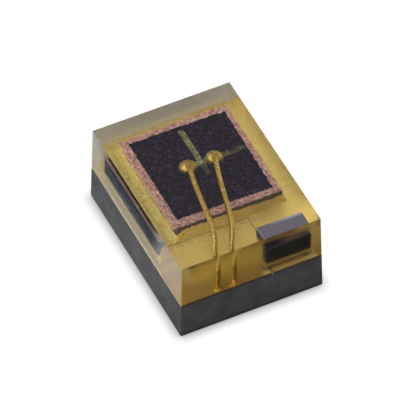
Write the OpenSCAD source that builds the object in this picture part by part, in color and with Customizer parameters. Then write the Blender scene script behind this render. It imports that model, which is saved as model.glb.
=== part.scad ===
// Infrared emitter in a clear chip package: a dark laminate base with gold-plated pads, one emitter
// die with two gold bond wires, a narrow protection diode and a sawn block of clear epoxy over them.
// Millimetres, +Z up, origin under the middle of the foot; the wires run to the front, -Y.

/* [Body] */
// Width of the foot
body_w = 1.2; // [1.15:0.05:1.5]
// Length of the foot
body_l = 1.6; // [1.55:0.05:2]
// Height from the terminals to the top of the clear block
body_h = 0.75; // [0.7:0.025:0.95]
// Height of the top of the laminate
base_h = 0.325; // [0.2:0.025:0.35]
// Lean of each sawn wall, from the foot to the top of the body
saw_taper = 0.0175; // [0:0.0025:0.03]

/* [Terminals] */
// Thickness of the solder terminals
terminal_t = 0.03; // [0.02:0.005:0.05]
// Margin from the terminals to the edge of the foot
terminal_edge = 0.06; // [0.04:0.01:0.1]
// Gap between the two terminals
terminal_gap = 0.2; // [0.15:0.05:0.4]
// Length of the front terminal
front_terminal_l = 0.5; // [0.4:0.05:0.6]
// Corner cut that marks the terminal of the die pad
polarity_cut = 0.14; // [0.08:0.02:0.24]
// Thickness of the solder resist
resist_t = 0.018; // [0.01:0.002:0.02]
// Clearance from the resist to the terminals
resist_gap = 0.025; // [0.01:0.005:0.04]

/* [Pads and vias] */
// Thickness of the plated pads on top of the laminate
pad_t = 0.025; // [0.018:0.001:0.035]
// Margin from the pads to the left wall; the saw cuts them at the other walls
pad_edge = 0.006; // [0.004:0.001:0.02]
// Gap between the die pad and the bond pad
pad_gap = 0.015; // [0.01:0.001:0.02]
// Length of the bond pad
bond_pad_l = 0.426; // [0.35:0.002:0.428]
// Width of the bond pad
bond_pad_w = 0.755; // [0.7:0.005:0.8]
// Width of the bars that run from the pads to the left wall
tie_w = 0.1; // [0.06:0.01:0.12]
// Width of the vias, across corners
via_d = 0.1; // [0.06:0.01:0.14]

/* [Emitter die] */
// Width of the die
die_w = 0.89; // [0.7:0.01:0.9]
// Length of the die
die_l = 0.98; // [0.8:0.01:1]
// Thickness of the carrier
carrier_t = 0.19; // [0.12:0.005:0.2]
// Offset of the die to the right of the middle
die_x = 0.05; // [0:0.005:0.06]
// Offset of the die behind the middle
die_y = 0.178; // [0.16:0.002:0.2]
// Thickness of the mirror metal
mirror_t = 0.01; // [0.005:0.001:0.015]
// Side margin of the mirror frame
frame_side = 0.048; // [0.03:0.002:0.06]
// Front and back margin of the mirror frame
frame_end = 0.076; // [0.05:0.002:0.09]
// Thickness of the emitting film
film_t = 0.012; // [0.006:0.001:0.02]
// Thickness of the contact metal
contact_t = 0.006; // [0.004:0.001:0.01]
// Width of the contact fingers
finger_w = 0.045; // [0.03:0.005:0.06]
// Width of the ball pads
ball_pad_d = 0.15; // [0.14:0.005:0.17]
// Thickness of the die attach
attach_t = 0.013; // [0.008:0.001:0.02]
// Reach of the die attach, outward from the walls of the die
attach_reach = 0.036; // [0.02:0.002:0.04]
// Climb of the die attach up the walls of the die
attach_climb = 0.06; // [0.03:0.005:0.1]

/* [Bond wires] */
// Diameter of the wire
wire_d = 0.038; // [0.03:0.002:0.044]
// Diameter of the pressed ball
ball_d = 0.125; // [0.1:0.005:0.13]
// Height of the pressed ball
ball_h = 0.034; // [0.026:0.002:0.04]
// Distance between the two balls
ball_pitch = 0.222; // [0.19:0.002:0.25]
// Offset of the balls behind the middle of the die
ball_back = 0.026; // [0:0.002:0.05]
// Offset of the balls to the right of the middle of the die
ball_right = 0.01; // [-0.02:0.002:0.02]
// Height of the loops over the contact metal, to the middle of the wire
loop_h = 0.075; // [0.06:0.005:0.09]
// Left stitch, to the left of the middle of the body
left_stitch_x = 0.265; // [0.2:0.005:0.3]
// Right stitch, to the left of the middle of the body
right_stitch_x = 0.13; // [0.05:0.005:0.15]
// Length of the stitches
stitch_l = 0.04; // [0.03:0.005:0.05]
// Distance from the stitches to the front wall
stitch_front = 0.075; // [0.06:0.005:0.16]
// Sideways sway of the loops
wire_sway = 0.033; // [0:0.003:0.04]

/* [Protection diode] */
// Width of the diode
diode_w = 0.38; // [0.34:0.01:0.41]
// Length of the diode
diode_l = 0.135; // [0.1:0.005:0.14]
// Height of the diode
diode_h = 0.2; // [0.12:0.005:0.21]
// Height of its solder joints
joint_t = 0.04; // [0.015:0.005:0.05]
// Width of its solder joints
joint_w = 0.028; // [0.024:0.002:0.06]
// Distance from the front wall to the diode
diode_front = 0.075; // [0.05:0.005:0.09]

/* [Hidden] */
pad_z = base_h + pad_t;
carrier_z = pad_z + attach_t;
mirror_z = carrier_z + carrier_t;
film_z = mirror_z + mirror_t;
contact_z = film_z + film_t;
ball_z = contact_z + contact_t;
film_w = die_w - 2 * frame_side;
film_l = die_l - 2 * frame_end;
foot_z = terminal_t - resist_t;
foot_x = body_w / 2;
foot_y = body_l / 2;
term_x = foot_x - terminal_edge;
term_y = foot_y - terminal_edge;
pad_x = foot_x - lean(pad_z) - pad_edge;
pad_y = foot_y - lean(pad_z);
bond_right = -pad_x + bond_pad_w;
bond_back = -pad_y + bond_pad_l;
arm_left = bond_right + pad_gap;
arm_back = bond_back + pad_gap;
tie_back_y = 0.62 * pad_y;
tie_front_y = -0.65 * pad_y;
contact_end = 0.02;
stub_l = 0.14;
joint_inset = 0.002;
diode_left = bond_right - joint_w - joint_inset;
diode_y = -foot_y + lean(pad_z) + diode_front;
ball_x = die_x + ball_right;
ball_y = die_y + ball_back;
stitch_y = -pad_y + stitch_front;
bond_via_y = -pad_y + 0.4 * bond_pad_l;
stitch_r = 0.2 * wire_d;
stitch_spread = 0.6 * wire_d;
wire_r = wire_d / 2;
drop_at = 0.94;
sides = 8;
flat = cos(180 / sides);
steps = 9;
die_via_x = 0.45 * term_x;
die_via_y = [0.24 * term_y, 0.78 * term_y];
bond_via_x = [-0.63 * term_x, 0.09 * term_x];

// Inward lean of a sawn wall at a height
function lean(z) = saw_taper * max(0, z - foot_z) / (body_h - foot_z);

// Point of a cubic curve
function bezier(p, t) = p[0] * pow(1 - t, 3) + p[1] * 3 * t * pow(1 - t, 2)
                      + p[2] * 3 * t * t * (1 - t) + p[3] * pow(t, 3);

// Sideways sway of a thread at a share of its span, greatest at two thirds and gone where it drops
function sway(t) = wire_sway * 12 * pow(max(0, t), 3) * max(0, drop_at - t);

// Rings of a thread as [along, height, half width, half thickness], from the pressed ball by the neck
// and the flat loop to the stitch at the end of a span
function ball_rings() = [
    [0, 0, 0.4 * ball_d, 0.4 * ball_d],
    [0, 0.2 * ball_h, 0.48 * ball_d, 0.48 * ball_d],
    [0, 0.55 * ball_h, 0.5 * ball_d, 0.5 * ball_d],
    [0, 0.85 * ball_h, 0.4 * ball_d, 0.4 * ball_d],
    [0, ball_h, 0.26 * ball_d, 0.26 * ball_d]];
function loop_points(span, drop) = let (
    fall_h = drop + loop_h,
    heel_z = stitch_r * flat - drop,
    neck = [0, 1.25 * ball_h],
    knee = [0.3 * span, loop_h],
    bend = [0.985 * span, loop_h - 0.42 * fall_h],
    rise = [neck, [0, 0.9 * loop_h], [0.06 * span, loop_h], knee],
    fall = [knee, [0.8 * span, loop_h + 0.3 * wire_d], [0.965 * span, loop_h + 0.3 * wire_d], bend],
    land = [bend, [0.995 * span, loop_h - 0.8 * fall_h], [0.985 * span, heel_z],
            [span + 0.4 * stitch_l, heel_z]])
    concat([for (i = [0 : steps - 1]) bezier(rise, i / steps)],
           [for (i = [0 : steps - 1]) bezier(fall, i / steps)],
           [for (i = [0 : steps]) bezier(land, i / steps)]);
function thread_rings(span, drop) = let (loop = loop_points(span, drop), n = len(loop)) concat(
    ball_rings(),
    [for (i = [0 : n - 1]) let (k = max(0, (i - n + 5) / 4), thick = wire_r + k * (stitch_r - wire_r))
        [loop[i][0], max(loop[i][1], thick - drop), wire_r + k * stitch_spread, thick]],
    [[span + stitch_l, stitch_r * flat - drop, wire_r + stitch_spread, stitch_r]]);

// Solid through rings, each square to the run of the thread, that sways to its left over the span
module sweep(rings, span) {
    n = len(rings);
    heading = [for (i = [0 : n - 1]) let (a = rings[max(i - 1, 0)], b = rings[min(i + 1, n - 1)])
        atan2(b[1] - a[1], b[0] - a[0])];
    points = [for (i = [0 : n - 1]) for (j = [0 : sides - 1])
        let (r = rings[i], a = (j + 0.5) * 360 / sides, h = heading[i], up = r[3] * sin(a))
        [r[0] - up * sin(h), r[2] * cos(a) + sway(r[0] / span), r[1] + up * cos(h)]];
    walls = [for (i = [0 : n - 2]) for (j = [0 : sides - 1]) let (k = (j + 1) % sides)
        [i * sides + j, (i + 1) * sides + j, (i + 1) * sides + k, i * sides + k]];
    start = [for (j = [0 : sides - 1]) j];
    end = [for (j = [sides - 1 : -1 : 0]) (n - 1) * sides + j];
    polyhedron(points, concat([start], walls, [end]), convexity = 6);
}

// Thread from a ball on the die to a stitch on the bond pad
module thread(start_x, stitch_x) {
    run = [stitch_x - start_x, stitch_y - ball_y];
    translate([start_x, ball_y, ball_z])
        rotate([0, 0, atan2(run[1], run[0])])
            sweep(thread_rings(norm(run), ball_z - pad_z), norm(run));
}

// Block between two heights that shares the lean of the sawn walls
module sawn_block(z0, z1) {
    intersection() {
        rotate([90, 0, 0]) linear_extrude(2 * body_l, center = true) sawn_profile(foot_x, z0, z1);
        rotate([90, 0, 90]) linear_extrude(2 * body_w, center = true) sawn_profile(foot_y, z0, z1);
    }
}

module sawn_profile(half, z0, z1) {
    low = half - lean(z0);
    high = half - lean(z1);
    polygon([[-low, z0], [low, z0], [high, z1], [-high, z1]]);
}

// Frustum over the outline of the die, wider at its foot by the reach given
module die_frustum(reach, h) {
    intersection() {
        rotate([90, 0, 0]) linear_extrude(2 * die_l, center = true) slope_profile(die_w / 2, reach, h);
        rotate([90, 0, 90]) linear_extrude(2 * die_w, center = true) slope_profile(die_l / 2, reach, h);
    }
}

module slope_profile(half, reach, h) {
    polygon([[-half - reach, 0], [half + reach, 0], [half, h], [-half, h]]);
}

// Plate with its lower left corner given
module plate(x0, y0, x1, y1, z, t) {
    translate([x0, y0, z]) cube([x1 - x0, y1 - y0, t]);
}

// Layer of the die, over its middle
module die_layer(w, l, z, t) {
    translate([die_x - w / 2, die_y - l / 2, z]) cube([w, l, t]);
}

module substrate() {
    color("dimgray") difference() {
        sawn_block(terminal_t, base_h);
        via_posts(die_via_places(), terminal_t, base_h);
        via_posts(bond_via_places(), terminal_t, base_h);
    }
}

module solder_resist() {
    color("darkslategray") difference() {
        sawn_block(foot_z, terminal_t);
        plate(-term_x - resist_gap, -term_y - resist_gap, term_x + resist_gap,
              -term_y + front_terminal_l + resist_gap, 0, terminal_t);
        plate(-term_x - resist_gap, -term_y + front_terminal_l + terminal_gap - resist_gap,
              term_x + resist_gap, term_y + resist_gap, 0, terminal_t);
    }
}

module die_terminal() {
    y0 = -term_y + front_terminal_l + terminal_gap;
    color("gold") linear_extrude(terminal_t)
        polygon([[-term_x + polarity_cut, y0], [term_x, y0], [term_x, term_y], [-term_x, term_y],
                 [-term_x, y0 + polarity_cut]]);
}

module bond_terminal() {
    color("gold") plate(-term_x, -term_y, term_x, -term_y + front_terminal_l, 0, terminal_t);
}

function die_via_places() = [for (x = [-die_via_x, die_via_x]) for (y = die_via_y) [x, y]];
function bond_via_places() = [for (x = bond_via_x) [x, bond_via_y]];

module via_posts(places, z0, z1) {
    for (p = places)
        translate([p[0], p[1], z0]) cylinder(d = via_d, h = z1 - z0, $fn = 12);
}

module die_vias() {
    color("peru") via_posts(die_via_places(), terminal_t, base_h);
}

module bond_vias() {
    color("peru") via_posts(bond_via_places(), terminal_t, base_h);
}

// Bar from a pad to the left wall
module tie_bar(y) {
    plate(-body_w, y - tie_w / 2, -pad_x + tie_w / 2, y + tie_w / 2, base_h, pad_t);
}

module die_pad() {
    color("gold") intersection() {
        sawn_block(base_h, pad_z);
        difference() {
            union() {
                plate(-pad_x, -body_l, body_w, body_l, base_h, pad_t);
                tie_bar(tie_back_y);
            }
            plate(-2 * body_w, -2 * body_l, arm_left, arm_back, base_h - pad_t, 3 * pad_t);
        }
    }
}

module bond_pad() {
    color("gold") intersection() {
        sawn_block(base_h, pad_z);
        union() {
            plate(-pad_x, -body_l, bond_right, bond_back, base_h, pad_t);
            tie_bar(tie_front_y);
        }
    }
}

module die_attach() {
    color("silver") translate([die_x, die_y, pad_z]) difference() {
        die_frustum(attach_reach, attach_t + attach_climb);
        translate([-die_w / 2, -die_l / 2, attach_t]) cube([die_w, die_l, carrier_t]);
    }
}

module die_carrier() {
    color("slategray") die_layer(die_w, die_l, carrier_z, carrier_t);
}

module mirror_metal() {
    color("rosybrown") die_layer(die_w, die_l, mirror_z, mirror_t);
}

module emitting_film() {
    color("indigo") die_layer(film_w, film_l, film_z, film_t);
}

module top_contact() {
    color("darkkhaki") translate([ball_x, ball_y, contact_z]) linear_extrude(contact_t) {
        for (s = [-1, 1])
            translate([s * ball_pitch / 2, 0]) circle(d = ball_pad_d, $fn = 12);
        translate([-ball_pitch / 2, -finger_w / 2])
            square([ball_pitch / 2 + film_w / 2 - ball_right - contact_end, finger_w]);
        translate([-finger_w / 2, -stub_l])
            square([finger_w, stub_l + film_l / 2 - ball_back - contact_end]);
    }
}

module left_wire() {
    color("goldenrod") thread(ball_x - ball_pitch / 2, -left_stitch_x);
}

module right_wire() {
    color("goldenrod") thread(ball_x + ball_pitch / 2, -right_stitch_x);
}

module diode_joints() {
    color("silver") for (x = [diode_left, diode_left + diode_w - joint_w])
        plate(x, diode_y, x + joint_w, diode_y + diode_l, pad_z, joint_t);
}

module protection_diode() {
    color("black") translate([diode_left, diode_y, pad_z + joint_t]) cube([diode_w, diode_l, diode_h]);
}

module encapsulant() {
    color("lightyellow", 0.35) difference() {
        sawn_block(base_h, body_h);
        die_pad();
        bond_pad();
        die_attach();
        die_carrier();
        mirror_metal();
        emitting_film();
        top_contact();
        diode_joints();
        protection_diode();
        left_wire();
        right_wire();
    }
}

substrate();
solder_resist();
die_terminal();
bond_terminal();
die_vias();
bond_vias();
die_pad();
bond_pad();
die_attach();
die_carrier();
mirror_metal();
emitting_film();
top_contact();
left_wire();
right_wire();
diode_joints();
protection_diode();
encapsulant();
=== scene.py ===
import math

import bmesh
import bpy
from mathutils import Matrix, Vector, noise


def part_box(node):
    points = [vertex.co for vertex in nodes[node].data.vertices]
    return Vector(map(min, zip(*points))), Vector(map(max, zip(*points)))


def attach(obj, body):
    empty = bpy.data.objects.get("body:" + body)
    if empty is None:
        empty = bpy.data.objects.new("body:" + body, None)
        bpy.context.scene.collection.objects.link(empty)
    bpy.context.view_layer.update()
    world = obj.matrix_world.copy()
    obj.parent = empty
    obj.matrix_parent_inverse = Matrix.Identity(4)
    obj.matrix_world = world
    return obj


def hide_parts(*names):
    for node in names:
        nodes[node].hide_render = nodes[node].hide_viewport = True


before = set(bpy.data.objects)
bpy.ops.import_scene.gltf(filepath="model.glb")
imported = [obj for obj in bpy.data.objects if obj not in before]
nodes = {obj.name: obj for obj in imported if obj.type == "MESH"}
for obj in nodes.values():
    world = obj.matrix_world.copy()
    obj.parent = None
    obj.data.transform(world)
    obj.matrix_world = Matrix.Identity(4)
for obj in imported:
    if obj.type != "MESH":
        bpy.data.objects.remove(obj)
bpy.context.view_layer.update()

mm = 0.001
micrometre = 1e-6
scene = bpy.context.scene

# Settings that many nodes share, and the sockets of the mix node: two values, or two colours and their result
multiply, largest = {"operation": "MULTIPLY"}, {"operation": "MAXIMUM"}
smooth = {"interpolation_type": "SMOOTHSTEP"}
floatMix, floatA, floatB = {"data_type": "FLOAT"}, 2, 3
colourMix, colourA, colourB, colourOut = {"data_type": "RGBA"}, 6, 7, 2


# sRGB hex to a linear colour
def hexColour(code):
    values = [int(code[i:i + 2], 16) / 255 for i in (1, 3, 5)]
    return [v / 12.92 if v <= 0.04045 else ((v + 0.055) / 1.055) ** 2.4 for v in values] + [1.0]


# Sets a node: lower-case keys are its own settings, the others are sockets; a link from a node takes its first output
def setNode(tree, node, settings=None, links=None):
    for key, value in (settings or {}).items():
        if isinstance(key, str) and key[0].islower():
            setattr(node, key, value)
        else:
            node.inputs[key].default_value = value
    for key, source in (links or {}).items():
        tree.links.new(source.outputs[0] if isinstance(source, bpy.types.Node) else source, node.inputs[key])
    return node


def addNode(tree, kind, settings=None, links=None):
    return setNode(tree, tree.nodes.new(kind), settings, links)


# Colour stops of a ramp, as (place, hex) pairs
def setStops(ramp, stops):
    elements = ramp.color_ramp.elements
    while len(elements) < len(stops):
        elements.new(0.5)
    for element, (place, code) in zip(elements, stops):
        element.position = place
        element.color = hexColour(code)
    return ramp


# Points of a float curve, as (place, value) pairs
def setCurve(curve, places):
    points = curve.mapping.curves[0].points
    points[0].location, points[1].location = places[0], places[-1]
    for place in places[1:-1]:
        points.new(*place)
    return points


# Empty material with its shader, output and object coordinates
def newMaterial(name):
    material = bpy.data.materials.new(name)
    material.use_nodes = True
    tree = material.node_tree
    tree.nodes.clear()
    shader = addNode(tree, "ShaderNodeBsdfPrincipled")
    addNode(tree, "ShaderNodeOutputMaterial", links={"Surface": shader})
    return material, tree, shader, addNode(tree, "ShaderNodeTexCoord").outputs["Object"]


# Last step of a material: the shader's values and links, and a bump from a height, its depth in micrometres
def endMaterial(tree, shader, height, depth, settings=None, links=None):
    bump = addNode(tree, "ShaderNodeBump", {"Strength": 1.0, "Distance": depth * micrometre}, {"Height": height})
    setNode(tree, shader, settings, {**(links or {}), "Normal": bump})


def addObject(name, data):
    made = bpy.data.objects.new(name, data)
    scene.collection.objects.link(made)
    return made


# Materials of one even grain: its width in millimetres, its detail and roughness, the colours along it,
# the shader's values and the bump in micrometres. The grain of metals and films is finer than a pixel, here and
# in the finishes below, so it is drawn as coarse as it needs to show
plainFinish = {
    # Solder resist ink: smooth green-black film with a soft orange peel
    "solderResist": {"grain": 0.05, "detail": 2.0, "rough": 0.5, "bump": 1.5, "shader": {"Roughness": 0.35},
                     "stops": ((0.3, "#1c2522"), (0.7, "#26302c"))},
    # Gold terminals under the foot: even satin plating with a fine rolled grain
    "terminalGold": {"grain": 0.02, "detail": 3.0, "rough": 0.5, "bump": 1.2,
                     "shader": {"Metallic": 1.0, "Roughness": 0.38},
                     "stops": ((0.3, "#dcb456"), (0.7, "#e8c468"))},
    # Plated copper of the vias: dull red metal
    "platedCopper": {"grain": 0.02, "detail": 3.0, "rough": 0.5, "bump": 1.2,
                     "shader": {"Metallic": 1.0, "Roughness": 0.45},
                     "stops": ((0.3, "#a8623f"), (0.7, "#c07a55"))},
    # Silver-filled adhesive: half metallic paste with coarse pale flakes, as yellow as the pads that it lies between
    "silverAdhesive": {"grain": 0.026, "detail": 4.0, "rough": 0.65, "bump": 4.5,
                       "shader": {"Metallic": 0.45, "Roughness": 0.45},
                       "stops": ((0.3, "#cfa854"), (0.42, "#ffdc6c"), (0.58, "#ffe880"), (0.66, "#fff6c8"))},
    # Emitting film: roughened semiconductor, violet-black and faintly mottled by its etched pits
    "etchedFilm": {"grain": 0.027, "detail": 2.0, "rough": 0.5, "bump": 1.2,
                   "shader": {"Roughness": 0.55, "Specular IOR Level": 0.02},
                   "stops": ((0.42, "#0e0014"), (0.54, "#240e2c"), (0.7, "#4c3052"))},
    # Drawn gold of the bond wires: bright warm yellow with drawing marks that glint
    "drawnGold": {"grain": 0.022, "detail": 3.0, "rough": 0.5, "bump": 3.0,
                  "shader": {"Metallic": 1.0, "Roughness": 0.32},
                  "stops": ((0.35, "#c89a34"), (0.6, "#e6c15a"), (0.72, "#ffeeb0"))},
    # Reflowed solder: pale grey metal with a soft grain
    "reflowedSolder": {"grain": 0.02, "detail": 3.0, "rough": 0.5, "bump": 2.0,
                       "shader": {"Metallic": 1.0, "Roughness": 0.4},
                       "stops": ((0.35, "#8f8f8c"), (0.65, "#b9b8b2"))},
}


def makePlain(name):
    f = plainFinish[name]
    material, tree, shader, place = newMaterial(name)
    grain = addNode(tree, "ShaderNodeTexNoise",
                    {"Scale": 1 / (f["grain"] * mm), "Detail": f["detail"], "Roughness": f["rough"]}, {"Vector": place})
    tones = setStops(addNode(tree, "ShaderNodeValToRGB", links={"Fac": grain}), f["stops"])
    endMaterial(tree, shader, grain, f["bump"], f["shader"], {"Base Color": tones})
    return material


# Black glass-epoxy laminate, sawn: satin charcoal with faint resin patches and fine level saw marks; its upper
# face near the middle takes a pale tone, painted light over the shaded trench between the pads, so the gap there is
# only a faint line
laminateFinish = {"patch": 0.11, "stops": ((0.3, "#3e3e3f"), (0.7, "#4f4f50")), "paintedLightHalf": 0.58, "paintedLightTone": "#fff0c0",
                  "mark": 0.012, "markLength": 9, "bump": 1.6,
                  "shader": {"Roughness": 0.5, "Specular IOR Level": 0.08}}


def makeLaminate():
    f = laminateFinish
    material, tree, shader, place = newMaterial("blackLaminate")
    patches = addNode(tree, "ShaderNodeTexNoise", {"Scale": 1 / (f["patch"] * mm), "Detail": 3.0}, {"Vector": place})
    tones = setStops(addNode(tree, "ShaderNodeValToRGB", links={"Fac": patches}), f["stops"])
    level = 1 / f["markLength"]
    stretched = addNode(tree, "ShaderNodeMapping", {"Scale": (level, level, 1)}, {"Vector": place})
    saw = addNode(tree, "ShaderNodeTexNoise", {"Scale": 1 / (f["mark"] * mm), "Detail": 2.0}, {"Vector": stretched})
    normal = addNode(tree, "ShaderNodeNewGeometry").outputs["Normal"]
    facing = addNode(tree, "ShaderNodeSeparateXYZ", links={0: normal})
    # Upper faces near the middle take a pale tone: painted light that lifts the shade in the gap between the pads
    upper = addNode(tree, "ShaderNodeMath", {"operation": "GREATER_THAN", 1: 0.5}, {0: facing.outputs["Z"]})
    axes = addNode(tree, "ShaderNodeSeparateXYZ", links={0: place})
    aside = addNode(tree, "ShaderNodeMath", {"operation": "ABSOLUTE"}, {0: axes.outputs["X"]})
    inner = addNode(tree, "ShaderNodeMath", {"operation": "LESS_THAN", 1: f["paintedLightHalf"] * mm}, {0: aside})
    paintedLightMask = addNode(tree, "ShaderNodeMath", multiply, {0: upper, 1: inner})
    paintedLightTone = addNode(tree, "ShaderNodeMix", {**colourMix, colourB: hexColour(f["paintedLightTone"])}, {0: paintedLightMask, colourA: tones})
    endMaterial(tree, shader, saw, f["bump"], f["shader"], {"Base Color": paintedLightTone.outputs[colourOut]})
    return material


# Gold over nickel on copper: satin yellow metal with plating grain, dull residue flecks round the die with pale
# raised flakes whose pale colour is a painted glint, a pale, almost non-metal patch before the diode that is partly
# flux and partly painted light over the diode's shade, and the dull copper core on the cut edges
padFinish = {
    "grain": 0.016, "clean": ((0.3, "#f6d06c"), (0.7, "#fddb7c")), "grainShare": 0.12, "calmRough": 0.42,
    "fleck": 0.036, "residue": ((0.32, "#e0b858"), (0.44, "#ffdf74"), (0.56, "#ffe682"), (0.64, "#fff2a8")),
    "flake": 0.05, "flakeEdge": (0.34, 0.2), "flakeGlintShare": 0.8, "flakeGlintTone": "#ffe88a", "flakeLift": 0.5,
    "busyY": (-0.5, -0.4), "busyX": (0.2, 0.3), "busyRight": 0.45, "busyRough": 0.5, "busyMetal": 0.65,
    "wall": (0.5905, 0.7905), "cutTone": "#b39a8a",
    "fluxMargin": 0.02, "fluxBlend": 0.03, "fluxTone": "#ffe48c", "fluxMetal": 0.1, "bump": 3.2,
}


def makePadGold():
    f = padFinish
    material, tree, shader, place = newMaterial("platedGold")
    axes = addNode(tree, "ShaderNodeSeparateXYZ", links={0: place})
    normal = addNode(tree, "ShaderNodeNewGeometry").outputs["Normal"]
    facing = addNode(tree, "ShaderNodeSeparateXYZ", links={0: normal})
    fine = addNode(tree, "ShaderNodeTexNoise", {"Scale": 1 / (f["grain"] * mm), "Detail": 4.0, "Roughness": 0.6},
                   {"Vector": place})
    clean = setStops(addNode(tree, "ShaderNodeValToRGB", links={"Fac": fine}), f["clean"])
    flecks = addNode(tree, "ShaderNodeTexNoise", {"Scale": 1 / (f["fleck"] * mm), "Detail": 5.0, "Roughness": 0.7},
                     {"Vector": place})
    residue = setStops(addNode(tree, "ShaderNodeValToRGB", links={"Fac": flecks}), f["residue"])
    # Pale spots over the residue: raised flakes in the bump, with a pale colour that is a painted glint
    flakes = addNode(tree, "ShaderNodeTexVoronoi", {"Scale": 1 / (f["flake"] * mm), "Randomness": 1.0},
                     {"Vector": place})
    edge, core = f["flakeEdge"]
    flakeAndGlint = addNode(tree, "ShaderNodeMapRange", {"From Min": edge, "From Max": core, "To Max": f["flakeGlintShare"]},
                   {"Value": flakes.outputs["Distance"]})
    residueWithGlints = addNode(tree, "ShaderNodeMix", {**colourMix, colourB: hexColour(f["flakeGlintTone"])},
                     {0: flakeAndGlint, colourA: residue})
    # The flecks end in front and thin out on the right
    fromFront, fromRight = (
        addNode(tree, "ShaderNodeMapRange", {**smooth, "From Min": f[key][0] * mm, "From Max": f[key][1] * mm,
                                             "To Min": start, "To Max": end}, {"Value": axes.outputs[key[-1]]})
        for key, start, end in (("busyY", 0.0, 1.0), ("busyX", 1.0, f["busyRight"])))
    busy = addNode(tree, "ShaderNodeMath", multiply, {0: fromFront, 1: fromRight})
    gold = addNode(tree, "ShaderNodeMix", colourMix, {0: busy, colourA: clean, colourB: residueWithGlints.outputs[colourOut]})
    # Upright faces at the outer walls are cut by the saw, the others stand in the gap
    upright = addNode(tree, "ShaderNodeMath", {"operation": "LESS_THAN", 1: 0.5}, {0: facing.outputs["Z"]})
    outer = []
    for axis, wall in zip("XY", f["wall"]):
        away = addNode(tree, "ShaderNodeMath", {"operation": "ABSOLUTE"}, {0: axes.outputs[axis]})
        outer.append(addNode(tree, "ShaderNodeMath", {"operation": "GREATER_THAN", 1: wall * mm}, {0: away}))
    atWall = addNode(tree, "ShaderNodeMath", largest, {0: outer[0], 1: outer[1]})
    cut = addNode(tree, "ShaderNodeMath", multiply, {0: upright, 1: atWall})
    inGap = addNode(tree, "ShaderNodeMath", {"operation": "SUBTRACT"}, {0: upright, 1: cut})
    whole = addNode(tree, "ShaderNodeMix", {**colourMix, colourB: hexColour(f["cutTone"])},
                    {0: cut, colourA: gold.outputs[colourOut]})
    # A pale, almost non-metal patch on the pad in front of the diode: partly flux, partly painted light that lifts the
    # diode's shade
    (left, front, _), (right, _, _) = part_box("protection_diode")
    margin, blend = f["fluxMargin"] * mm, f["fluxBlend"] * mm
    fluxLightPatch = addNode(tree, "ShaderNodeMath", {"operation": "GREATER_THAN", 1: 0.5}, {0: facing.outputs["Z"]})
    for axis, dry, wet in (("X", left - margin - blend, left - margin), ("X", right + margin + blend, right + margin),
                           ("Y", front + blend, front)):
        side = addNode(tree, "ShaderNodeMapRange", {**smooth, "From Min": dry, "From Max": wet},
                       {"Value": axes.outputs[axis]})
        fluxLightPatch = addNode(tree, "ShaderNodeMath", multiply, {0: fluxLightPatch, 1: side})
    fluxLightColour = addNode(tree, "ShaderNodeMix", {**colourMix, colourB: hexColour(f["fluxTone"])},
                     {0: fluxLightPatch, colourA: whole.outputs[colourOut]})
    rough = addNode(tree, "ShaderNodeMapRange", {"To Min": f["calmRough"], "To Max": f["busyRough"]}, {"Value": busy})
    dulled = addNode(tree, "ShaderNodeMath", largest, {0: busy, 1: inGap})
    bare = addNode(tree, "ShaderNodeMapRange", {"To Min": 1.0, "To Max": f["busyMetal"]}, {"Value": dulled})
    metal = addNode(tree, "ShaderNodeMix", {**floatMix, floatB: f["fluxMetal"]}, {0: fluxLightPatch, floatA: bare})
    lumps = addNode(tree, "ShaderNodeMath", {"operation": "MULTIPLY_ADD", 1: f["flakeLift"]}, {0: flakeAndGlint, 2: flecks})
    height = addNode(tree, "ShaderNodeMath", multiply, {0: lumps, 1: busy})
    both = addNode(tree, "ShaderNodeMath", {"operation": "MULTIPLY_ADD", 1: f["grainShare"]}, {0: fine, 2: height})
    endMaterial(tree, shader, both, f["bump"],
                links={"Base Color": fluxLightColour.outputs[colourOut], "Roughness": rough, "Metallic": metal})
    return material


# Sawn carrier of the die: dull blue-black semiconductor, with brown tones on the front wall as painted shade under
# the die's front edge
carrierFinish = {"chip": 0.03, "walls": ((0.35, "#1a2448"), (0.65, "#2b3964")),
                 "paintedFrontShade": ((0.35, "#2e2718"), (0.65, "#4c4128")), "bump": 1.0,
                 "shader": {"Roughness": 0.4, "Specular IOR Level": 0.2}}


def makeCarrier():
    f = carrierFinish
    material, tree, shader, place = newMaterial("sawnCarrier")
    chips = addNode(tree, "ShaderNodeTexNoise", {"Scale": 1 / (f["chip"] * mm), "Detail": 4.0, "Roughness": 0.6},
                    {"Vector": place})
    walls, paintedFrontShade = (setStops(addNode(tree, "ShaderNodeValToRGB", links={"Fac": chips}), f[key])
                    for key in ("walls", "paintedFrontShade"))
    normal = addNode(tree, "ShaderNodeNewGeometry").outputs["Normal"]
    facing = addNode(tree, "ShaderNodeSeparateXYZ", links={0: normal})
    # Faces turned to the front take the brown tones: painted shade under the die's front edge
    front = addNode(tree, "ShaderNodeMath", {"operation": "LESS_THAN", 1: -0.5}, {0: facing.outputs["Y"]})
    both = addNode(tree, "ShaderNodeMix", colourMix, {0: front, colourA: walls, colourB: paintedFrontShade})
    endMaterial(tree, shader, chips, f["bump"], f["shader"], {"Base Color": both.outputs[colourOut]})
    return material


# Mirror metal left bare round the film: dusty pink rough metal that wears to gold at its ragged edge, with its
# undercut sides painted dark grey as painted shade
mirrorFinish = {"grain": 0.017, "cloud": 0.026, "stops": ((0.36, "#b37c75"), (0.5, "#dba598"), (0.64, "#f8d4c6")),
                "wear": (0.25, 0.5), "wornTone": "#f4c690", "upward": 0.3, "sideShadeTone": "#34343c", "bump": 5.0,
                "shader": {"Metallic": 0.85, "Roughness": 0.45}}


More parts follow.
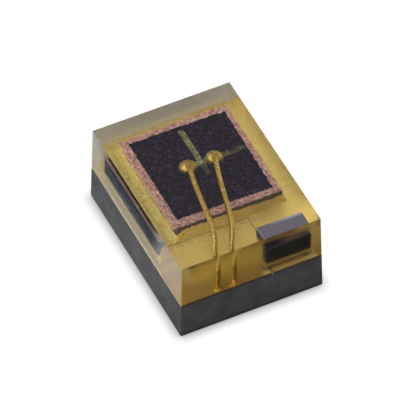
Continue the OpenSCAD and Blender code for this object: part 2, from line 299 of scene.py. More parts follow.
def makeMirrorMetal():
    f = mirrorFinish
    material, tree, shader, place = newMaterial("mirrorMetal")
    grains = addNode(tree, "ShaderNodeTexVoronoi", {"Scale": 1 / (f["grain"] * mm), "Randomness": 1.0},
                     {"Vector": place})
    clouds = addNode(tree, "ShaderNodeTexNoise", {"Scale": 1 / (f["cloud"] * mm), "Detail": 4.0, "Roughness": 0.7},
                     {"Vector": place})
    tones = setStops(addNode(tree, "ShaderNodeValToRGB", links={"Fac": clouds}), f["stops"])
    edge = addNode(tree, "ShaderNodeAttribute", {"attribute_name": "edge"})
    frayed = addNode(tree, "ShaderNodeMath", multiply, {0: edge.outputs["Fac"], 1: clouds})
    wear = addNode(tree, "ShaderNodeMapRange", {**smooth, "From Min": f["wear"][0], "From Max": f["wear"][1]},
                   {"Value": frayed})
    worn = addNode(tree, "ShaderNodeMix", {**colourMix, colourB: hexColour(f["wornTone"])}, {0: wear, colourA: tones})
    normal = addNode(tree, "ShaderNodeNewGeometry").outputs["Normal"]
    facing = addNode(tree, "ShaderNodeSeparateXYZ", links={0: normal})
    # Faces that are not turned up take a dark grey: painted shade on the undercut sides
    upper = addNode(tree, "ShaderNodeMath", {"operation": "GREATER_THAN", 1: f["upward"]}, {0: facing.outputs["Z"]})
    whole = addNode(tree, "ShaderNodeMix", {**colourMix, colourA: hexColour(f["sideShadeTone"])},
                    {0: upper, colourB: worn.outputs[colourOut]})
    endMaterial(tree, shader, grains.outputs["Distance"], f["bump"], f["shader"],
                {"Base Color": whole.outputs[colourOut]})
    return material


# Contact metal on the film: thin yellow-green alloy, grainy from the etched film below and almost gone on the
# right and in front, where each share of it is lost between two places
contactFinish = {"grain": 0.022, "stops": ((0.38, "#44432f"), (0.52, "#9a9668"), (0.66, "#d2cd96")),
                 "goneX": (0.2, 0.3, 0.7), "goneY": (0.2, 0.15, 0.8), "goneTone": "#1b1d17", "bump": 6.0,
                 "shader": {"Metallic": 0.9, "Roughness": 0.45}}


def makeContact():
    f = contactFinish
    material, tree, shader, place = newMaterial("contactMetal")
    grain = addNode(tree, "ShaderNodeTexNoise", {"Scale": 1 / (f["grain"] * mm), "Detail": 5.0, "Roughness": 0.7},
                    {"Vector": place})
    tones = setStops(addNode(tree, "ShaderNodeValToRGB", links={"Fac": grain}), f["stops"])
    axes = addNode(tree, "ShaderNodeSeparateXYZ", links={0: place})
    rightward, forward = (
        addNode(tree, "ShaderNodeMapRange", {"From Min": start * mm, "From Max": end * mm, "To Max": share},
                {"Value": axes.outputs[axis]})
        for axis, (start, end, share) in (("X", f["goneX"]), ("Y", f["goneY"])))
    gone = addNode(tree, "ShaderNodeMath", largest, {0: rightward, 1: forward})
    thin = addNode(tree, "ShaderNodeMix", {**colourMix, colourB: hexColour(f["goneTone"])}, {0: gone, colourA: tones})
    endMaterial(tree, shader, grain, f["bump"], f["shader"], {"Base Color": thin.outputs[colourOut]})
    return material


# Silicon chip: polished top with a lavender nitride tint and a painted highlight along the right part of its back
# edge, and sawn walls that are matt blue-black, with pale amber flux crept up their foot
chipFinish = {"chip": 0.025, "walls": ((0.38, "#0b1013"), (0.66, "#263034")), "bump": 5.0,
              "paleY": (-0.618, -0.592), "paleX": (0.15, 0.5), "topTone": "#8e889b", "highlightTone": "#e4e4ec",
              "fluxZ": (0.434, 0.416), "fluxRagged": 0.03, "fluxTone": "#caae6c", "wallRough": 0.6, "topRough": 0.12}


def makeSilicon():
    f = chipFinish
    material, tree, shader, place = newMaterial("polishedSilicon")
    axes = addNode(tree, "ShaderNodeSeparateXYZ", links={0: place})
    normal = addNode(tree, "ShaderNodeNewGeometry").outputs["Normal"]
    facing = addNode(tree, "ShaderNodeSeparateXYZ", links={0: normal})
    top = addNode(tree, "ShaderNodeMath", {"operation": "GREATER_THAN", 1: 0.5}, {0: facing.outputs["Z"]})
    chips = addNode(tree, "ShaderNodeTexNoise", {"Scale": 1 / (f["chip"] * mm), "Detail": 4.0, "Roughness": 0.65},
                    {"Vector": place})
    walls = setStops(addNode(tree, "ShaderNodeValToRGB", links={"Fac": chips}), f["walls"])
    crept = addNode(tree, "ShaderNodeMath", {"operation": "MULTIPLY_ADD", 1: f["fluxRagged"] * mm},
                    {0: chips, 2: axes.outputs["Z"]})
    dry, wet = ((z + f["fluxRagged"] / 2) * mm for z in f["fluxZ"])
    flux = addNode(tree, "ShaderNodeMapRange", {"From Min": dry, "From Max": wet}, {"Value": crept})
    foot = addNode(tree, "ShaderNodeMix", {**colourMix, colourB: hexColour(f["fluxTone"])}, {0: flux, colourA: walls})
    # A pale band along the right part of the top's back edge is a painted highlight
    backward, rightward = (
        addNode(tree, "ShaderNodeMapRange", {**smooth, "From Min": f[key][0] * mm, "From Max": f[key][1] * mm},
                {"Value": axes.outputs[key[-1]]}) for key in ("paleY", "paleX"))
    glint = addNode(tree, "ShaderNodeMath", multiply, {0: backward, 1: rightward})
    paintedLightTone = addNode(tree, "ShaderNodeMix", {**colourMix, colourA: hexColour(f["topTone"]),
                                           colourB: hexColour(f["highlightTone"])}, {0: glint})
    whole = addNode(tree, "ShaderNodeMix", colourMix,
                    {0: top, colourA: foot.outputs[colourOut], colourB: paintedLightTone.outputs[colourOut]})
    rough = addNode(tree, "ShaderNodeMapRange", {"To Min": f["wallRough"], "To Max": f["topRough"]}, {"Value": top})
    below = addNode(tree, "ShaderNodeMath", {"operation": "SUBTRACT", 0: 1.0}, {1: top})
    height = addNode(tree, "ShaderNodeMath", multiply, {0: chips, 1: below})
    endMaterial(tree, shader, height, f["bump"],
                links={"Base Color": whole.outputs[colourOut], "Metallic": top, "Roughness": rough})
    return material


# Clear epoxy: water-clear, faintly warm and almost flat as it left the mould; where the saw went through it is still
# clear, but fine level marks smear the view up and down. The first cuts, at the sides, came out bright; of the
# second cuts the front is satin and a little darker and warmer, and the back matt and tinted a darker grey
epoxyFinish = {
    "mouldedEpoxy": {"tone": "#fffdf4", "rough": 0.02, "mark": 0.25, "markLength": 1, "bump": 0.6},
    "sawnEpoxySide": {"tone": "#fffaf0", "rough": 0.07, "mark": 0.01, "markLength": 40, "bump": 0.7},
    "sawnEpoxyFront": {"tone": "#eee4d4", "rough": 0.24, "mark": 0.01, "markLength": 40, "bump": 4.0},
    "sawnEpoxyBack": {"tone": "#bbb29c", "rough": 0.8, "mark": 0.01, "markLength": 40, "bump": 3.0},
}
epoxyIndex = 1.53


def makeEpoxy(name):
    f = epoxyFinish[name]
    material, tree, shader, place = newMaterial(name)
    level = 1 / f["markLength"]
    stretched = addNode(tree, "ShaderNodeMapping", {"Scale": (level, level, 1)}, {"Vector": place})
    marks = addNode(tree, "ShaderNodeTexNoise", {"Scale": 1 / (f["mark"] * mm), "Detail": 2.0}, {"Vector": stretched})
    endMaterial(tree, shader, marks, f["bump"], {"Base Color": hexColour(f["tone"]), "Roughness": f["rough"],
                                                 "IOR": epoxyIndex, "Transmission Weight": 1.0})
    return material


for material, *dressed in (
        (makeLaminate(), "substrate"), (makePlain("solderResist"), "solder_resist"),
        (makePlain("terminalGold"), "die_terminal", "bond_terminal"),
        (makePlain("platedCopper"), "die_vias", "bond_vias"), (makePadGold(), "die_pad", "bond_pad"),
        (makeCarrier(), "die_carrier"), (makeContact(), "top_contact"),
        (makePlain("reflowedSolder"), "diode_joints"), (makeSilicon(), "protection_diode")):
    for node in dressed:
        slots = nodes[node].data.materials
        slots.clear()
        slots.append(material)

# Hard edges of the diode and its joints, softened by a width in micrometres; their loose triangles are welded first
softEdges = {"protection_diode": 5.0, "diode_joints": 4.0}
for node, width in softEdges.items():
    weld = nodes[node].modifiers.new("joinedFaces", "WELD")
    weld.merge_threshold = 0.01 * micrometre
    bevel = nodes[node].modifiers.new("softEdges", "BEVEL")
    bevel.width, bevel.segments, bevel.limit_method = width * micrometre, 2, "ANGLE"
print("materials on the base, the pads, the die and the diode")


# Faces of the die: thin plates with ragged etched edges, in millimetres. The corners run from the back left over
# the back right, and the mirror metal stands a little over the wall of the die; its back, right, front and left
# edges are worn by their shares
diePlates = {
    "mirrorPlate": {"corners": ((-0.43, 0.674), (0.498, 0.672), (0.498, -0.316), (-0.43, -0.316)),
                    "foot": 0.028, "low": 0.545, "high": 0.563},
    "filmPlate": {"corners": ((-0.357, 0.618), (0.454, 0.607), (0.439, -0.256), (-0.358, -0.235)),
                  "foot": 0.002, "low": 0.562, "high": 0.575},
    "ragged": 0.015, "lumps": 0.04, "lumpShare": 0.6, "grit": 0.014, "gritShare": 0.4,
    "lip": 0.003, "fade": 0.032, "steps": 160, "wornSides": (1.0, 1.0, 0.55, 1.2),
}


def makePlate(name, material):
    f, plate = diePlates, diePlates[name]
    corners = [Vector(c) for c in plate["corners"]]
    outward = []
    for here, ahead in zip(corners, corners[1:] + corners[:1]):
        along = (ahead - here).normalized()
        outward.append(Vector((-along.y, along.x)))
    shape = bmesh.new()
    edge = shape.verts.layers.float.new("edge")
    # Rings from the foot up over the lip to where the wear ends: inset, height and share of wear
    levels = ((plate["foot"], plate["low"], 1.0), (0.0, plate["high"] - f["lip"], 1.0),
              (f["lip"], plate["high"], 1.0), (f["fade"], plate["high"], 0.0))
    rings = []
    for inset, z, share in levels:
        shrunk = [c - (outward[i] + outward[i - 1]) * inset for i, c in enumerate(corners)]
        ring = []
        for i in range(4):
            for k in range(f["steps"]):
                outer = corners[i].lerp(corners[(i + 1) % 4], k / f["steps"]).to_3d()
                rough = (f["lumpShare"] * noise.noise(outer / f["lumps"])
                         + f["gritShare"] * noise.noise(outer / f["grit"]))
                inner = shrunk[i].lerp(shrunk[(i + 1) % 4], k / f["steps"])
                spot = inner + outward[i] * rough * f["ragged"]
                vert = shape.verts.new(Vector((spot.x, spot.y, z)) * mm)
                vert[edge] = share * f["wornSides"][i]
                ring.append(vert)
        rings.append(ring)
    for lower, upper in zip(rings, rings[1:]):
        for i in range(len(lower)):
            shape.faces.new((lower[i - 1], lower[i], upper[i], upper[i - 1]))
    shape.faces.new(rings[0])
    shape.faces.new(rings[-1])
    bmesh.ops.recalc_face_normals(shape, faces=shape.faces)
    mesh = bpy.data.meshes.new(name)
    shape.to_mesh(mesh)
    shape.free()
    mesh.materials.append(material)
    return addObject(name, mesh)


for name, material, node, slot in (("mirrorPlate", makeMirrorMetal(), "mirror_metal", "mirror_metal"),
                                   ("filmPlate", makePlain("etchedFilm"), "emitting_film", "film")):
    plate = makePlate(name, material)
    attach(plate, "root")
    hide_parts(node)
    print(name, len(plate.data.polygons), "faces")


# Geometry node tree with named inputs, the identifiers of their sockets and what they give
def newTree(name, result, inputs):
    tree = bpy.data.node_groups.new(name, "GeometryNodeTree")
    sockets = {key: tree.interface.new_socket(key, in_out="INPUT", socket_type=kind).identifier
               for kind, keys in inputs.items() for key in keys}
    tree.interface.new_socket(result, in_out="OUTPUT", socket_type="NodeSocketGeometry")
    return tree, sockets, addNode(tree, "NodeGroupInput").outputs


# Last nodes of a tree: smooth faces, no instances, one material
def endTree(tree, shape, finish):
    soft = addNode(tree, "GeometryNodeSetShadeSmooth", links={"Geometry": shape})
    plain = addNode(tree, "GeometryNodeRealizeInstances", links={"Geometry": soft})
    done = addNode(tree, "GeometryNodeSetMaterial", links={"Geometry": plain, "Material": finish})
    addNode(tree, "NodeGroupOutput", links={0: done})


# Runs a tree on a guide and keeps the result as a plain mesh
def runTree(guide, tree, sockets, values):
    modifier = guide.modifiers.new("sweep", "NODES")
    modifier.node_group = tree
    for key, value in values.items():
        modifier[sockets[key]] = value
    ready = bpy.data.meshes.new_from_object(guide.evaluated_get(bpy.context.evaluated_depsgraph_get()))
    bpy.data.objects.remove(guide)
    return ready


# Bond wires: the route of the CAD wires, swept round and smooth, in millimetres. The loop's places are shares of
# the span, its falls are shares of the height from the loop down to the pad, and its arch is a share of the wire
bondWire = {
    "ballX": (-0.051, 0.171), "ballY": 0.204, "ballZ": 0.581, "ballDiameter": 0.125, "ballHeight": 0.034,
    "ballProfile": ((0.0, 0.8), (0.2, 0.96), (0.5, 1.0), (0.8, 0.86), (0.94, 0.6), (1.0, 0.36)),
    "stitchX": (-0.265, -0.13), "stitchY": -0.717, "padZ": 0.35, "stitchLength": 0.04,
    "stitchWide": 2.1, "stitchThick": 0.75, "stitchRun": 0.4, "stitchMiddle": 0.6, "stitchSpread": 1.5,
    "wireDiameter": 0.042, "loopHeight": 0.075, "sway": 0.033, "dropAt": 0.94, "steps": 24,
    "neckFoot": 0.6, "neckRise": 0.9, "neckAt": 0.06, "kneeAt": 0.3, "archAt": (0.8, 0.965), "archLift": 0.3,
    "bendAt": 0.985, "bendFall": 0.42, "dropOut": 0.995, "dropFall": 0.8, "heelLift": 0.2,
}


def bezierPoint(p, t):
    return p[0] * (1 - t) ** 3 + p[1] * 3 * t * (1 - t) ** 2 + p[2] * 3 * t * t * (1 - t) + p[3] * t ** 3


# Centre line of one wire from the neck over its ball to the stitch
def wireRoute(side):
    w = bondWire
    start = Vector((w["ballX"][side], w["ballY"], w["ballZ"]))
    run = Vector((w["stitchX"][side] - w["ballX"][side], w["stitchY"] - w["ballY"], 0))
    span, ahead = run.length, run.normalized()
    top, drop = w["loopHeight"], w["ballZ"] - w["padZ"]
    fall, heel = drop + top, w["heelLift"] * w["wireDiameter"] - drop
    arch = top + w["archLift"] * w["wireDiameter"]
    knee, bend = (w["kneeAt"] * span, top), (w["bendAt"] * span, top - w["bendFall"] * fall)
    stretches = (
        ((0, w["neckFoot"] * w["ballHeight"]), (0, w["neckRise"] * top), (w["neckAt"] * span, top), knee),
        (knee, (w["archAt"][0] * span, arch), (w["archAt"][1] * span, arch), bend),
        (bend, (w["dropOut"] * span, top - w["dropFall"] * fall), (w["bendAt"] * span, heel),
         (span + w["stitchRun"] * w["stitchLength"], heel)),
    )
    parts = [[Vector((along, 0, z)) for along, z in stretch] for stretch in stretches]
    line = [bezierPoint(p, i / w["steps"]) for p in parts for i in range(w["steps"])] + [parts[-1][-1]]
    aside = Vector((-ahead.y, ahead.x, 0))
    shares = [max(0, min(1, p.x / span)) for p in line]
    # The sideways hump ends where the wire drops, and 12 brings its peak to about 1
    drift = [w["sway"] * 12 * t ** 3 * max(0, w["dropAt"] - t) for t in shares]
    return [(start + ahead * p.x + aside * d + Vector((0, 0, p.z))) * mm for p, d in zip(line, drift)], ahead


# Node tree that sweeps a wire along a line of edges, with its pressed ball and its flat stitch
def makeWireTree():
    w = bondWire
    tree, sockets, given = newTree("bondWireSweep", "Wire", {
        "NodeSocketGeometry": ("Route",), "NodeSocketMaterial": ("Finish",),
        "NodeSocketFloat": ("Wire Diameter", "Ball Diameter", "Ball Height", "Stitch Length"),
        "NodeSocketVector": ("Ball Place", "Stitch Place", "Stitch Turn")})
    radius, ballRadius = (addNode(tree, "ShaderNodeMath", {**multiply, 1: 0.5}, {0: given[key]})
                          for key in ("Wire Diameter", "Ball Diameter"))
    ring = addNode(tree, "GeometryNodeCurvePrimitiveCircle", {"Resolution": 20}, {"Radius": radius})
    route = addNode(tree, "GeometryNodeMeshToCurve", links={0: given["Route"]})
    thread = addNode(tree, "GeometryNodeCurveToMesh", {"Fill Caps": True}, {"Curve": route, "Profile Curve": ring})
    # The ball is turned from a short upright line whose radius follows a pressed profile
    tall = addNode(tree, "ShaderNodeCombineXYZ", links={"Z": given["Ball Height"]})
    axis = addNode(tree, "GeometryNodeCurvePrimitiveLine", links={"End": tall})
    axisPoints = addNode(tree, "GeometryNodeResampleCurve", {"Count": 15}, {"Curve": axis})
    along = addNode(tree, "GeometryNodeSplineParameter")
    profile = addNode(tree, "ShaderNodeFloatCurve", links={"Value": along.outputs["Factor"]})
    setCurve(profile, w["ballProfile"])
    profile.mapping.update()
    shaped = addNode(tree, "GeometryNodeSetCurveRadius", links={"Curve": axisPoints, "Radius": profile})
    ballRing = addNode(tree, "GeometryNodeCurvePrimitiveCircle", {"Resolution": 40}, {"Radius": ballRadius})
    turned = addNode(tree, "GeometryNodeCurveToMesh", {"Fill Caps": True},
                     {"Curve": shaped, "Profile Curve": ballRing, "Scale": profile})
    ball = addNode(tree, "GeometryNodeTransform", links={"Geometry": turned, "Translation": given["Ball Place"]})
    # The stitch is a flattened bead that spreads into the pad
    bead = addNode(tree, "GeometryNodeMeshUVSphere", {"Segments": 28, "Rings": 14, "Radius": 0.5})
    wide, thick = (addNode(tree, "ShaderNodeMath", {**multiply, 1: w[key]}, {0: given["Wire Diameter"]})
                   for key in ("stitchWide", "stitchThick"))
    size = addNode(tree, "ShaderNodeCombineXYZ", links={"X": given["Stitch Length"], "Y": wide, "Z": thick})
    stitch = addNode(tree, "GeometryNodeTransform", links={
        "Geometry": bead, "Translation": given["Stitch Place"], "Rotation": given["Stitch Turn"], "Scale": size})
    joined = addNode(tree, "GeometryNodeJoinGeometry")
    for part in (thread, ball, stitch):
        setNode(tree, joined, links={0: part})
    endTree(tree, joined, given["Finish"])
    return tree, sockets


def makeWire(name, side, tree, sockets):
    w = bondWire
    line, ahead = wireRoute(side)
    mesh = bpy.data.meshes.new(name)
    mesh.from_pydata(line, [(i, i + 1) for i in range(len(line) - 1)], [])
    end = Vector((w["stitchX"][side], w["stitchY"], w["padZ"])) + ahead * w["stitchMiddle"] * w["stitchLength"]
    ready = runTree(addObject(name + "Route", mesh), tree, sockets, {
        "Wire Diameter": w["wireDiameter"] * mm, "Ball Diameter": w["ballDiameter"] * mm,
        "Ball Height": w["ballHeight"] * mm, "Ball Place": Vector((w["ballX"][side], w["ballY"], w["ballZ"])) * mm,
        "Stitch Length": w["stitchSpread"] * w["stitchLength"] * mm, "Stitch Place": end * mm,
        "Stitch Turn": (0, 0, math.atan2(ahead.y, ahead.x)), "Finish": wireGold})
    return addObject(name, ready)


wireGold = makePlain("drawnGold")
wireTree, wireSockets = makeWireTree()
for name, side, node in (("leftBondWire", 0, "left_wire"), ("rightBondWire", 1, "right_wire")):
    wire = makeWire(name, side, wireTree, wireSockets)
    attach(wire, "root")
    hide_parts(node)
    print(name, len(wire.data.polygons), "faces")


# Die attach: a bead of adhesive that runs round the foot of the die and climbs it unevenly, in millimetres.
# Most of it came out in front, where it is heaped up to the left, and it lies low on the left, so its shares there
# grow or shrink over a short way: the heap's, the rest of the front's and the left side's. Rows of the section give
# the way round it and the shares of reach and climb
attachBead = {
    "width": 0.89, "length": 0.98, "middle": (0.05, 0.178, 0.35), "lumps": 0.06, "grit": 0.024, "points": (600, 21),
    "frontWay": 0.05, "leftWay": 0.05, "frontTurn": (0.05, 0.3), "noise": (0.7, 1.3),
    "reach": 0.036, "reachShares": (0.95, 0.95, 2.2), "reachRagged": 0.25, "reachShift": 0.0,
    "climb": 0.066, "climbShares": (2.25, 1.85, 0.35), "climbRagged": 0.15, "climbShift": 3.0,
    "section": ((0.0, 1.0, 0.0), (0.2, 0.62, 0.16), (0.4, 0.3, 0.42), (0.6, 0.06, 0.82), (0.7, -0.1, 1.0),
                (0.85, -0.25, 0.5), (1.0, 1.0, 0.0)),
    "weld": 0.0002,
}


def makeBead():
    b = attachBead
    tree, sockets, given = newTree("attachBeadSweep", "Bead", {
        "NodeSocketFloat": ("Width", "Length", "Reach", "Climb", "Lump Size", "Grit Size"),
        "NodeSocketVector": ("Middle",), "NodeSocketMaterial": ("Finish",)})
    outline = addNode(tree, "GeometryNodeCurvePrimitiveQuadrilateral",
                      links={"Width": given["Width"], "Height": given["Length"]})
    # A sheet of points is wrapped round the outline: u runs along it, v round the section
    sheet = addNode(tree, "GeometryNodeMeshGrid", {"Size X": 1.0, "Size Y": 1.0, "Vertices X": b["points"][0],
                                                   "Vertices Y": b["points"][1]})
    at = addNode(tree, "ShaderNodeSeparateXYZ", links={0: addNode(tree, "GeometryNodeInputPosition")})
    u, v = (addNode(tree, "ShaderNodeMath", {"operation": "ADD", 1: 0.5}, {0: at.outputs[axis]}) for axis in "XY")
    spot = addNode(tree, "GeometryNodeSampleCurve", {"mode": "FACTOR"}, {"Curves": outline, "Factor": u})
    where = spot.outputs["Position"]
    around = addNode(tree, "ShaderNodeSeparateXYZ", links={0: where})
    lumpScale, gritScale = (addNode(tree, "ShaderNodeMath", {"operation": "DIVIDE", 0: 1.0}, {1: given[key]})
                            for key in ("Lump Size", "Grit Size"))
    leftX, frontY = -b["width"] / 2, -b["length"] / 2
    grown = []
    for column, key in ((1, "reach"), (2, "climb")):
        heap, front, left = b[key + "Shares"]
        ragged, shift = b[key + "Ragged"], b[key + "Shift"]
        curve = addNode(tree, "ShaderNodeFloatCurve", links={"Value": v})
        curve.mapping.use_clip = False
        for point in setCurve(curve, [(row[0], row[column]) for row in b["section"]]):
            point.handle_type = "VECTOR"
        curve.mapping.update()
        shifted = addNode(tree, "ShaderNodeVectorMath", {"operation": "ADD", 1: (shift * mm, 0.0, 0.0)}, {0: where})
        lumps, grit = (addNode(tree, "ShaderNodeTexNoise", {"Detail": 2.0}, {"Vector": shifted, "Scale": scale})
                       for scale in (lumpScale, gritScale))
        mixed = addNode(tree, "ShaderNodeMath", {"operation": "ADD"}, {0: lumps, 1: grit})
        local = addNode(tree, "ShaderNodeMapRange", {"From Min": b["noise"][0], "From Max": b["noise"][1],
                                                     "To Min": 1.0 - ragged, "To Max": 1.0 + ragged}, {"Value": mixed})
        fromLeft = addNode(tree, "ShaderNodeMapRange", {"From Min": leftX * mm, "From Max": (leftX + b["leftWay"]) * mm,
                                                        "To Min": left}, {"Value": around.outputs["X"]})
        heaped = addNode(tree, "ShaderNodeMapRange", {"From Min": b["frontTurn"][0] * mm,
                                                      "From Max": b["frontTurn"][1] * mm,
                                                      "To Min": heap, "To Max": front}, {"Value": around.outputs["X"]})
        fromFront = addNode(tree, "ShaderNodeMapRange",
                            {"From Min": frontY * mm, "From Max": (frontY + b["frontWay"]) * mm},
                            {"Value": around.outputs["Y"], "To Min": heaped})
        for part in (fromLeft, fromFront, given[key.title()], curve):
            local = addNode(tree, "ShaderNodeMath", multiply, {0: local, 1: part})
        grown.append(local)
    outward = addNode(tree, "ShaderNodeVectorMath", {"operation": "CROSS_PRODUCT", 1: (0.0, 0.0, 1.0)},
                      {0: spot.outputs["Tangent"]})
    aside = addNode(tree, "ShaderNodeVectorMath", {"operation": "SCALE"}, {0: outward, "Scale": grown[0]})
    tall = addNode(tree, "ShaderNodeCombineXYZ", links={"Z": grown[1]})
    place = given["Middle"]
    for part in (where, aside, tall):
        place = addNode(tree, "ShaderNodeVectorMath", {"operation": "ADD"}, {0: place, 1: part})
    wrapped = addNode(tree, "GeometryNodeSetPosition", links={"Geometry": sheet, "Position": place})
    closed = addNode(tree, "GeometryNodeMergeByDistance", {"Distance": b["weld"] * mm}, {"Geometry": wrapped})
    endTree(tree, closed, given["Finish"])
    guide = addObject("attachBeadGuide", bpy.data.meshes.new("attachBeadGuide"))
    ready = runTree(guide, tree, sockets, {
        "Width": b["width"] * mm, "Length": b["length"] * mm, "Middle": Vector(b["middle"]) * mm,
        "Reach": b["reach"] * mm, "Climb": b["climb"] * mm, "Lump Size": b["lumps"] * mm,
        "Grit Size": b["grit"] * mm, "Finish": makePlain("silverAdhesive")})
    shape = bmesh.new()
    shape.from_mesh(ready)
    bmesh.ops.recalc_face_normals(shape, faces=shape.faces)
    shape.to_mesh(ready)
    shape.free()
    return addObject("attachBead", ready)


bead = makeBead()
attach(bead, "root")
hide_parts("die_attach")
print("die attach bead", len(bead.data.polygons), "faces")


# Clear block: the sawn outline of the CAD block with its foot sunk a little into the laminate, in millimetres.
# Its materials lie in the order of epoxyFinish: top, sides, front, back
clearBlock = {"shyOfSaw": 0.0008, "sunk": 0.003, "top": 0, "walls": (2, 1, 3, 1), "foot": 2}


def makeClearBlock():
    shy, sunk = clearBlock["shyOfSaw"] * mm, clearBlock["sunk"] * mm
    rims = []
    for node in ("substrate", "encapsulant"):
        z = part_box(node)[1].z
        level = [v.co for v in nodes[node].data.vertices if abs(v.co.z - z) < 0.01 * micrometre]
        rims.append((max(c.x for c in level) - shy, max(c.y for c in level) - shy, z))
    foot = tuple(c - sunk for c in rims[0])
    shape = bmesh.new()
    turns = ((-1, -1), (1, -1), (1, 1), (-1, 1))
    rings = [[shape.verts.new((sx * x, sy * y, z)) for sx, sy in turns] for x, y, z in (foot, *rims)]
    for lower, upper in zip(rings, rings[1:]):
        for i, finish in enumerate(clearBlock["walls"]):
            ahead = (i + 1) % 4
            shape.faces.new((lower[i], lower[ahead], upper[ahead], upper[i])).material_index = finish
    shape.faces.new(rings[-1]).material_index = clearBlock["top"]
    shape.faces.new(rings[0][::-1]).material_index = clearBlock["foot"]
    bmesh.ops.recalc_face_normals(shape, faces=shape.faces)
    mesh = bpy.data.meshes.new("clearBlock")
    shape.to_mesh(mesh)
    shape.free()
    for name in epoxyFinish:
        mesh.materials.append(makeEpoxy(name))
    return addObject("clearBlock", mesh)


block = makeClearBlock()
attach(block, "root")
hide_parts("encapsulant")
print("clear block over the die")


# Studio, in millimetres. The floor is white to the camera, with a tight contact shadow; the object mirrors it white
# as well, but for a dark stretch in front, a grey one behind and a dark card that lies slanting on the left and
# keeps the wall before the die clear. The sky is one soft dome, brighter from the upper left, over white screens
# that stand behind and beside the object
studio = {
    "floorHalf": 60.0, "floorDrop": 0.0005, "paper": (0.8, 0.8, 0.8, 1.0), "shadowReach": 0.09, "shadowSamples": 16,
    "darkY": (-0.9, -0.1), "floorDark": 0.06, "floorWhite": 1.0,
    "greyY": (0.75, 1.0), "greyX": (-0.88, -0.6), "floorGrey": 0.5,
    "cardX": (-0.775, -0.81), "cardSlant": 2.06, "cardFront": (-1.625, -1.605), "cardBack": (-0.62, -0.66),
    "domeFrom": (-0.8, 0.0, 0.6), "domeSpread": (-0.1, 0.9), "domeLevels": (0.16, 1.4),
    "screenZ": (0.6, 0.25), "screenY": (-0.7, -0.1), "screenLevel": 1.6, "skyTint": (0.97, 0.99, 1.03, 1.0),
}


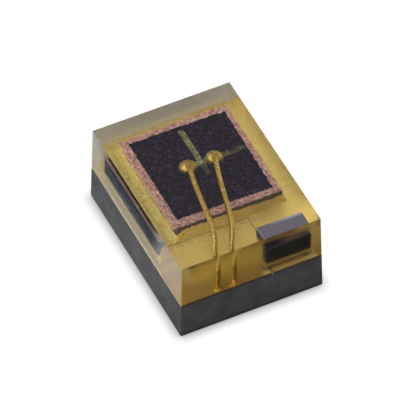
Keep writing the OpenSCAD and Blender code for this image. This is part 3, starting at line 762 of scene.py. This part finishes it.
def makeFloor():
    material = bpy.data.materials.new("studioFloor")
    material.use_nodes = True
    tree = material.node_tree
    tree.nodes.clear()
    axes = addNode(tree, "ShaderNodeSeparateXYZ", links={0: addNode(tree, "ShaderNodeTexCoord").outputs["Object"]})
    x, y = axes.outputs["X"], axes.outputs["Y"]
    slant = addNode(tree, "ShaderNodeMath", {"operation": "MULTIPLY_ADD", 1: studio["cardSlant"]}, {0: x, 2: y})
    within = {}
    for key, along in (("darkY", y), ("greyY", y), ("greyX", x), ("cardX", x),
                       ("cardFront", slant), ("cardBack", slant)):
        start, end = studio[key]
        within[key] = addNode(tree, "ShaderNodeMapRange", {**smooth, "From Min": start * mm, "From Max": end * mm},
                              {"Value": along})
    grey = addNode(tree, "ShaderNodeMath", multiply, {0: within["greyY"], 1: within["greyX"]})
    dulled = addNode(tree, "ShaderNodeMapRange", {"To Min": 1.0, "To Max": studio["floorGrey"]}, {"Value": grey})
    white = addNode(tree, "ShaderNodeMath", multiply, {0: within["darkY"], 1: dulled})
    stripe = addNode(tree, "ShaderNodeMath", multiply, {0: within["cardX"], 1: within["cardFront"]})
    card = addNode(tree, "ShaderNodeMath", multiply, {0: stripe, 1: within["cardBack"]})
    bare = addNode(tree, "ShaderNodeMath", {"operation": "SUBTRACT", 0: 1.0}, {1: card})
    clear = addNode(tree, "ShaderNodeMath", multiply, {0: white, 1: bare})
    sweep = addNode(tree, "ShaderNodeMapRange", {"To Min": studio["floorDark"], "To Max": studio["floorWhite"]},
                    {"Value": clear})
    path = addNode(tree, "ShaderNodeLightPath").outputs
    level = addNode(tree, "ShaderNodeMath", largest, {0: path["Is Camera Ray"], 1: sweep})
    shadow = addNode(tree, "ShaderNodeAmbientOcclusion", {"samples": studio["shadowSamples"],
                                                          "Distance": studio["shadowReach"] * mm})
    shaded = addNode(tree, "ShaderNodeMath", multiply, {0: level, 1: shadow.outputs["AO"]})
    glow = addNode(tree, "ShaderNodeEmission", {"Strength": 1.0}, {"Color": shaded})
    paper = addNode(tree, "ShaderNodeBsdfDiffuse", {"Color": studio["paper"]})
    seen = path["Is Camera Ray"]
    for ray in ("Is Glossy Ray", "Is Transmission Ray"):
        seen = addNode(tree, "ShaderNodeMath", largest, {0: seen, 1: path[ray]})
    either = addNode(tree, "ShaderNodeMixShader", links={0: seen, 1: paper, 2: glow})
    addNode(tree, "ShaderNodeOutputMaterial", links={"Surface": either})
    half = studio["floorHalf"] * mm
    mesh = bpy.data.meshes.new("studioFloor")
    mesh.from_pydata([(-half, -half, 0), (half, -half, 0), (half, half, 0), (-half, half, 0)], [], [(0, 1, 2, 3)])
    mesh.materials.append(material)
    floor = addObject("studioFloor", mesh)
    floor.location.z = -studio["floorDrop"] * mm


def makeSky():
    world = bpy.data.worlds.new("studioDome")
    world.use_nodes = True
    tree = world.node_tree
    tree.nodes.clear()
    ray = addNode(tree, "ShaderNodeTexCoord").outputs["Generated"]
    axes = addNode(tree, "ShaderNodeSeparateXYZ", links={0: ray})
    toward = addNode(tree, "ShaderNodeVectorMath",
                     {"operation": "DOT_PRODUCT", 1: Vector(studio["domeFrom"]).normalized()}, {0: ray})
    dim, bright = studio["domeLevels"]
    dome, low, behind = (
        addNode(tree, "ShaderNodeMapRange",
                {**smooth, "From Min": studio[key][0], "From Max": studio[key][1], **levels}, {"Value": along})
        for key, along, levels in (("domeSpread", toward.outputs["Value"], {"To Min": dim, "To Max": bright}),
                                   ("screenZ", axes.outputs["Z"], {}), ("screenY", axes.outputs["Y"], {})))
    screens = addNode(tree, "ShaderNodeMath", multiply, {0: low, 1: behind})
    level = addNode(tree, "ShaderNodeMix", {**floatMix, floatB: studio["screenLevel"]}, {0: screens, floatA: dome})
    sky = addNode(tree, "ShaderNodeBackground", {"Color": studio["skyTint"]}, {"Strength": level})
    addNode(tree, "ShaderNodeOutputWorld", links={"Surface": sky})
    scene.world = world


# Camera: fitted to the edges of the body, a long lens from the front left, in millimetres
viewFrom = {"place": (-13.3604, -27.3881, 34.5948), "along": (0.2911, 0.59898, -0.74598),
            "lens": 540.0, "sensor": 36.0, "clip": (1.0, 1000.0)}


def makeCamera():
    data = bpy.data.cameras.new("photoCamera")
    data.lens, data.sensor_width = viewFrom["lens"], viewFrom["sensor"]
    data.clip_start, data.clip_end = (c * mm for c in viewFrom["clip"])
    camera = addObject("photoCamera", data)
    camera.location = Vector(viewFrom["place"]) * mm
    camera.rotation_euler = Vector(viewFrom["along"]).to_track_quat("-Z", "Y").to_euler()
    scene.camera = camera


makeFloor()
makeSky()
makeCamera()
scene.view_settings.view_transform = "Standard"
print("floor, sky and camera")

bpy.context.view_layer.update()
